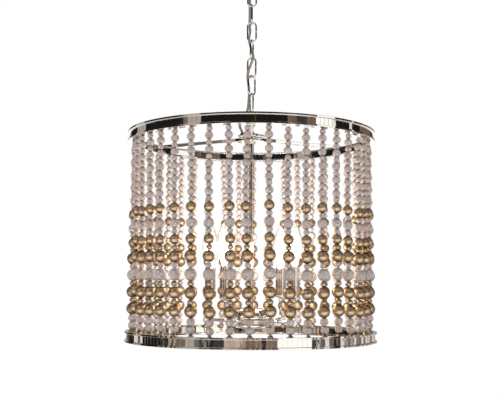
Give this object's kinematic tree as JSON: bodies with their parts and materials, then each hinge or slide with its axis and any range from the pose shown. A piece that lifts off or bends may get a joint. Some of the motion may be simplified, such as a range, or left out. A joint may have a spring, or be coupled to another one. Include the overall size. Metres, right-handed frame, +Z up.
{
  "type": "beaded drum chandelier",
  "caption": "Drum chandelier: strands of washed and gold wooden beads between nickel channel rings, candle lights inside, on a link chain and ceiling canopy.",
  "frame": {"origin": "middle of the ceiling crossbar's top face, which lies flat on the ceiling", "axes": "+Z up out of the ceiling face and along the hanging line, -Y the front that faces the camera, +X to the right seen from the front"},
  "size_m": [0.508, 0.508, 0.7908],
  "materials": {
    "polished_nickel": "mirror polished nickel plate",
    "zinc_steel": "plain zinc plate, hidden under the canopy",
    "washed_wood": "turned wooden beads with a matte greyish white wash",
    "gold_wood": "turned wooden beads with a satin antique gold paint",
    "clear_glass": "clear blown lamp glass",
    "black_phenolic": "moulded phenolic",
    "clear_vinyl": "clear vinyl insulation over bright wire",
    "lamp_brass": "rolled brass screw shell",
    "lamp_filament": "glowing wound wire"
  },
  "bodies": {
    "ceiling_fitting": {"ceiling_crossbar": "zinc_steel", "hanging_nipple": "zinc_steel", "canopy": "polished_nickel", "canopy_loop": "polished_nickel", "cord_bushing": "black_phenolic", "supply_cord": "clear_vinyl"},
    "link_1": {"chain_link_1": "polished_nickel"},
    "link_2": {"chain_link_2": "polished_nickel"},
    "link_3": {"chain_link_3": "polished_nickel"},
    "link_4": {"chain_link_4": "polished_nickel"},
    "link_5": {"chain_link_5": "polished_nickel"},
    "link_6": {"chain_link_6": "polished_nickel"},
    "link_7": {"chain_link_7": "polished_nickel"},
    "drum": {"fixture_loop": "polished_nickel", "hub_plate_upper": "polished_nickel", "hub_core": "polished_nickel", "hub_plate_lower": "polished_nickel", "spider_bar_1": "polished_nickel", "spider_bar_2": "polished_nickel", "spider_bar_3": "polished_nickel", "stem": "polished_nickel", "top_ring": "polished_nickel", "bottom_ring": "polished_nickel", "bead_curtain_1": "washed_wood", "bead_curtain_2": "washed_wood", "bead_curtain_3": "washed_wood", "bead_curtain_4": "washed_wood", "bead_curtain_5": "washed_wood", "bead_curtain_6": "washed_wood", "bead_curtain_7": "washed_wood", "bead_curtain_8": "washed_wood", "bead_curtain_9": "washed_wood", "bead_curtain_10": "washed_wood", "bead_curtain_11": "washed_wood", "bead_curtain_12": "washed_wood", "bead_curtain_13": "washed_wood", "bead_curtain_14": "washed_wood", "cluster_cover": "polished_nickel", "cluster_cup": "polished_nickel", "cluster_finial": "polished_nickel", "arm_1": "polished_nickel", "arm_2": "polished_nickel", "arm_3": "polished_nickel", "arm_4": "polished_nickel", "candle_cup_1": "polished_nickel", "candle_cup_2": "polished_nickel", "candle_cup_3": "polished_nickel", "candle_cup_4": "polished_nickel", "candle_sleeve_1": "polished_nickel", "candle_sleeve_2": "polished_nickel", "candle_sleeve_3": "polished_nickel", "candle_sleeve_4": "polished_nickel", "socket_1": "black_phenolic", "socket_2": "black_phenolic", "socket_3": "black_phenolic", "socket_4": "black_phenolic"},
    "lamp_1": {"bulb_1": "clear_glass"},
    "lamp_2": {"bulb_2": "clear_glass"},
    "lamp_3": {"bulb_3": "clear_glass"},
    "lamp_4": {"bulb_4": "clear_glass"}
  },
  "joints": [
    {"name": "canopy_loop_to_link_1", "type": "hinge", "parent": "ceiling_fitting", "child": "link_1", "pos_m": [0, 0, -0.0569], "axis": [0, 1, 0], "range_deg": [-14, 14], "deforming": ["supply_cord"]},
    {"name": "link_1_to_link_2", "type": "hinge", "parent": "link_1", "child": "link_2", "pos_m": [0, 0, -0.0943], "axis": [0.9994, 0.0349, 0], "range_deg": [-14, 14], "deforming": ["supply_cord"]},
    {"name": "link_2_to_link_3", "type": "hinge", "parent": "link_2", "child": "link_3", "pos_m": [0, 0, -0.1323], "axis": [0.0349, 0.9994, 0], "range_deg": [-14, 14], "deforming": ["supply_cord"]},
    {"name": "link_3_to_link_4", "type": "hinge", "parent": "link_3", "child": "link_4", "pos_m": [0, 0, -0.1703], "axis": [0.9962, -0.0872, 0], "range_deg": [-14, 14], "deforming": ["supply_cord"]},
    {"name": "link_4_to_link_5", "type": "hinge", "parent": "link_4", "child": "link_5", "pos_m": [0, 0, -0.2083], "axis": [0.309, 0.9511, 0], "range_deg": [-14, 14], "deforming": ["supply_cord"]},
    {"name": "link_5_to_link_6", "type": "hinge", "parent": "link_5", "child": "link_6", "pos_m": [0, 0, -0.2463], "axis": [0.9455, -0.3256, 0], "range_deg": [-14, 14], "deforming": ["supply_cord"]},
    {"name": "link_6_to_link_7", "type": "hinge", "parent": "link_6", "child": "link_7", "pos_m": [0, 0, -0.2843], "axis": [0.766, 0.6428, 0], "range_deg": [-14, 14], "deforming": ["supply_cord"]},
    {"name": "link_7_to_fixture_loop", "type": "hinge", "parent": "link_7", "child": "drum", "pos_m": [0, 0, -0.3223], "axis": [-0.342, 0.9397, 0], "range_deg": [-14, 14], "deforming": ["supply_cord"]},
    {"name": "bulb_1_lift_out", "type": "slide", "parent": "drum", "child": "lamp_1", "axis": [0, 0, 1], "range_m": [0, 0.03]},
    {"name": "bulb_2_lift_out", "type": "slide", "parent": "drum", "child": "lamp_2", "axis": [0, 0, 1], "range_m": [0, 0.03]},
    {"name": "bulb_3_lift_out", "type": "slide", "parent": "drum", "child": "lamp_3", "axis": [0, 0, 1], "range_m": [0, 0.03]},
    {"name": "bulb_4_lift_out", "type": "slide", "parent": "drum", "child": "lamp_4", "axis": [0, 0, 1], "range_m": [0, 0.03]}
  ]
}
